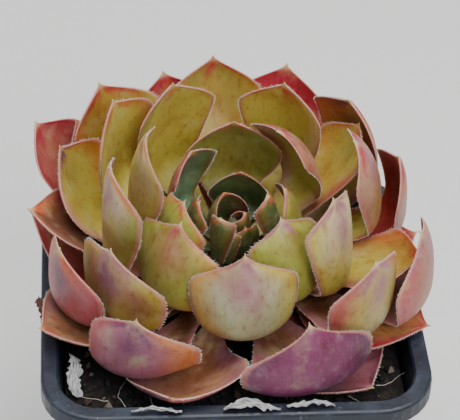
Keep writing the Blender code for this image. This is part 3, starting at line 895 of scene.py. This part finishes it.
# Dry scraps in the pot's millimetres, as they lie in the frame: both ends of the middle line,
# the width, how far the middle arches and how far the sides curl up
Scrap = namedtuple("Scrap", "name start end width arch curl")
SCRAPS = [
    Scrap("dry_leaf", (-45.8, -3.5, 80.7), (-45.2, -12.5, 80.7), 2.6, 0.9, 0.6),
    Scrap("dry_skin_left", (-38.6, -21.5, 78.3), (-36.8, -31.0, 73.4), 4.4, 0.9, 0.8),
    Scrap("dry_skin_front", (-4.0, -44.0, 80.7), (9.0, -44.4, 80.7), 4.6, 0.7, 0.6),
    Scrap("dry_skin_right", (10.5, -43.4, 80.7), (21.5, -43.8, 80.7), 2.8, 0.5, 0.5),
    Scrap("dry_skin_rim", (-25.0, -44.0, 80.7), (-13.5, -44.6, 80.7), 2.2, 0.4, 0.4),
]
SCRAP_ROWS = 40
SCRAP_COLUMNS = 17
SCRAP_THICKNESS = 0.16
SCRAP_BEAD = 1.03
SCRAP_SEED = 50
PAPER = (0.50, 0.51, 0.52)

# A scrap's torn edge, as shares of its half width, its uneven curl, its creases and its bends
MARKS = 18
TORN = (0.35, 1.0)
UNEVEN_CURL = (0, 2.2)
END_START = 0.04
END_SPAN = 0.90
CREASES = 9
CREASE_COUNT = (2.5, 13)
CREASE_LENGTH = 10
CREASE_SLANT = 0.3
CREASE_HEIGHT = 1.1
BEND = 0.3
BEND_WAVES = (2, 4)
BEND_START = (0, 6)
SCRAP_SETTLED = 0.1
SCRAP_GRAIN_SHIFT = 9


def uneven(t, low_high, rng):
    """A value between the two limits at each mark along the scrap, with straight runs between marks."""
    marks = np.linspace(0, 1, MARKS)
    return np.interp(t, marks, [rng.uniform(*low_high) for _ in marks])


def scrap_form(scrap, rng):
    """A crumpled flake: one side turned up, the edge torn, creases running every way."""
    start, end = np.array(scrap.start), np.array(scrap.end)
    length = np.linalg.norm(end - start)
    ahead = (end - start) / length
    sideways = np.cross(ahead, [0.0, 0.0, 1.0])
    sideways /= np.linalg.norm(sideways)
    upright = np.cross(sideways, ahead)
    columns = np.linspace(-1, 1, SCRAP_COLUMNS)
    across = np.tile(np.concatenate([columns, [SCRAP_BEAD], columns[::-1], [-SCRAP_BEAD]]), (SCRAP_ROWS, 1))
    face = np.broadcast_to(loop_face(SCRAP_COLUMNS), across.shape)
    t = np.broadcast_to(np.linspace(0, 1, SCRAP_ROWS)[:, None], across.shape)
    edges = [uneven(t, TORN, rng) for _ in range(2)]
    torn = np.where(across > 0, edges[0], edges[1])
    half = 0.5 * scrap.width * np.sin(np.pi * (END_START + END_SPAN * t)) ** 0.5 * torn
    crumple = np.zeros(across.shape)
    for _ in range(CREASES):
        count = rng.uniform(*CREASE_COUNT) * length / CREASE_LENGTH
        heading = rng.uniform(0, math.pi)
        run = t * count * math.cos(heading) + across * count * CREASE_SLANT * math.sin(heading)
        crumple += CREASE_HEIGHT / count * np.abs((run + rng.random()) % 1 - 0.5)
    bend = np.sin(rng.uniform(*BEND_WAVES) * t + rng.uniform(*BEND_START)) * np.sin(np.pi * t)
    wander = BEND * scrap.width * bend
    turned_up = scrap.curl * np.maximum(0, across) ** 2 * uneven(t, UNEVEN_CURL, rng)
    arch = scrap.arch * (np.sin(np.pi * t) - 0.5)
    rise = arch + turned_up + crumple - SCRAP_SETTLED + 0.5 * face * SCRAP_THICKNESS
    points = start + t[..., None] * length * ahead
    points = points + (half * across + wander)[..., None] * sideways + rise[..., None] * upright
    grain = np.stack([across * half, t * length, rng.uniform(0, SCRAP_GRAIN_SHIFT) + face], 2)
    return points.reshape(-1, 3), grain.reshape(-1, 3)


def make_scraps():
    """A thin crumpled flake in the place of each solid scrap."""
    tissue = tissue_material()
    faces = loop_faces(SCRAP_ROWS, 2 * SCRAP_COLUMNS + 2)
    for k, scrap in enumerate(SCRAPS):
        points, grain = scrap_form(scrap, random.Random(SCRAP_SEED + k))
        leafy = scrap.name == "dry_leaf"
        tint = np.tile(INKS["umber"] if leafy else PAPER, (len(points), 1))
        piece = new_piece(f"fine_{scrap.name}", points, faces, (tissue,), tint, grain)
        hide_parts(scrap.name)


# Loose crumbs on the soil, in the pot's millimetres
CRUMB_COUNT = 2200
CRUMB_LEAST = 0.25
CRUMB_GROWTH = 1.1
CRUMB_RARITY = 3
CRUMB_STRETCH = (0.6, 1.3)
CRUMB_SPIN = 6.28
CRUMB_SUNK = 0.7
CRUMB_RAISED = 0.6
CRUMB_INKS = ((0.007, 0.005, 0.004), (0.018, 0.012, 0.009), (0.042, 0.028, 0.019), (0.15, 0.12, 0.09))
CRUMB_INK_SPREAD = 4.05
CRUMB_INK_RARITY = 2.4
CRUMB_SEED = 3
SOIL_TOP = 73.0
SOIL_HALF = 37.5
STEM_RADIUS = 7.5


def make_crumbs():
    """Loose crumbs of soil and some pale grit, sunk a little into the soil's top."""
    rng = random.Random(CRUMB_SEED)
    body = np.array([(1, 0, 0), (0, 1, 0), (-1, 0, 0), (0, -1, 0), (0, 0, 1), (0, 0, -1)], float)
    sides = [(0, 1, 4), (1, 2, 4), (2, 3, 4), (3, 0, 4), (1, 0, 5), (2, 1, 5), (3, 2, 5), (0, 3, 5)]
    points, faces, tints = [], [], []
    while len(points) < CRUMB_COUNT * len(body):
        x, y = rng.uniform(-SOIL_HALF, SOIL_HALF), rng.uniform(-SOIL_HALF, SOIL_HALF)
        if math.hypot(x, y) < STEM_RADIUS:
            continue
        size = CRUMB_LEAST + CRUMB_GROWTH * rng.random() ** CRUMB_RARITY
        spin = np.array(Matrix.Rotation(rng.uniform(0, CRUMB_SPIN), 3, (rng.random(), rng.random(), 1)))
        stretch = np.array([rng.uniform(*CRUMB_STRETCH) for _ in range(3)])
        shade = min(len(CRUMB_INKS) - 1, int(CRUMB_INK_SPREAD * rng.random() ** CRUMB_INK_RARITY))
        place = (x, y, SOIL_TOP - CRUMB_SUNK + CRUMB_RAISED * size)
        faces += [tuple(len(points) + corner for corner in side) for side in sides]
        points += list((body * stretch * size) @ spin.T + place)
        tints += [CRUMB_INKS[shade]] * len(body)
    new_piece("soil_crumbs", points, faces, (crumb_material(),), np.array(tints),
              smooth_shading=False)


# Root hairs in the pot's millimetres: where each starts, its first heading and its length
RootHair = namedtuple("RootHair", "start heading length")
ROOT_HAIRS = [
    RootHair((26.0, -33.0, 73.6), -25, 12), RootHair((30.0, -36.0, 74.2), -50, 11),
    RootHair((22.0, -36.5, 73.8), -80, 9), RootHair((-26.0, -35.0, 73.7), 120, 12),
    RootHair((-20.0, -37.0, 73.8), 60, 10), RootHair((33.0, -30.0, 73.8), 10, 9),
    RootHair((-37.5, 4.0, 74.2), 200, 11), RootHair((-30.0, -33.0, 73.8), 160, 9),
]
ROOT_HAIR_COLOUR = (0.50, 0.44, 0.36)
ROOT_HAIR_ROUGHNESS = 0.7
ROOT_HAIR_POINTS = 22
ROOT_HAIR_RADIUS = 0.11
ROOT_HAIR_SIDES = 5
ROOT_HAIR_TAPER = 0.75
ROOT_HAIR_SWERVE = 0.45
ROOT_HAIR_CLIMB = 0.06
ROOT_HAIR_UNEVEN = (0.2, 1.0)
ROOT_HAIR_SEED = 21


def tube(path):
    """Rings of points and faces along a thin hair, tapering to its far end."""
    path = np.array(path, float)
    ahead = np.gradient(path, axis=0)
    ahead /= np.linalg.norm(ahead, axis=1)[:, None]
    first = np.cross(ahead, [0.3, 0.2, 1.0])
    first /= np.linalg.norm(first, axis=1)[:, None]
    second = np.cross(ahead, first)
    points = []
    for k in range(len(path)):
        radius = ROOT_HAIR_RADIUS * (1 - ROOT_HAIR_TAPER * k / (len(path) - 1))
        for step in range(ROOT_HAIR_SIDES):
            across, up = polar(360 * step / ROOT_HAIR_SIDES, radius)
            points.append(path[k] + across * first[k] + up * second[k])
    return points, loop_faces(len(path), ROOT_HAIR_SIDES)


def wandering_path(hair, rng):
    """Even steps that swerve at random, with a slight rise in the middle."""
    place, path, heading = np.array(hair.start), [], math.radians(hair.heading)
    step = hair.length / ROOT_HAIR_POINTS
    for k in range(ROOT_HAIR_POINTS):
        path.append(place)
        heading += rng.uniform(-ROOT_HAIR_SWERVE, ROOT_HAIR_SWERVE)
        arch = math.sin(math.pi * k / (ROOT_HAIR_POINTS - 1))
        climb = ROOT_HAIR_CLIMB * arch * rng.uniform(*ROOT_HAIR_UNEVEN)
        place = place + (step * math.cos(heading), step * math.sin(heading), climb)
    return path


def make_root_hairs():
    """Fine pale root hairs that lie over the soil and the rim."""
    skin = plain_material("root_hair", ROOT_HAIR_COLOUR, ROOT_HAIR_ROUGHNESS)
    rng = random.Random(ROOT_HAIR_SEED)
    points, faces = [], []
    for hair in ROOT_HAIRS:
        rings, sides = tube(wandering_path(hair, rng))
        faces += [tuple(len(points) + corner for corner in side) for side in sides]
        points += rings
    new_piece("root_hairs", points, faces, (skin,))


make_camera()
make_studio()
dress_frame()
make_leaves()
make_scraps()
make_crumbs()
make_root_hairs()
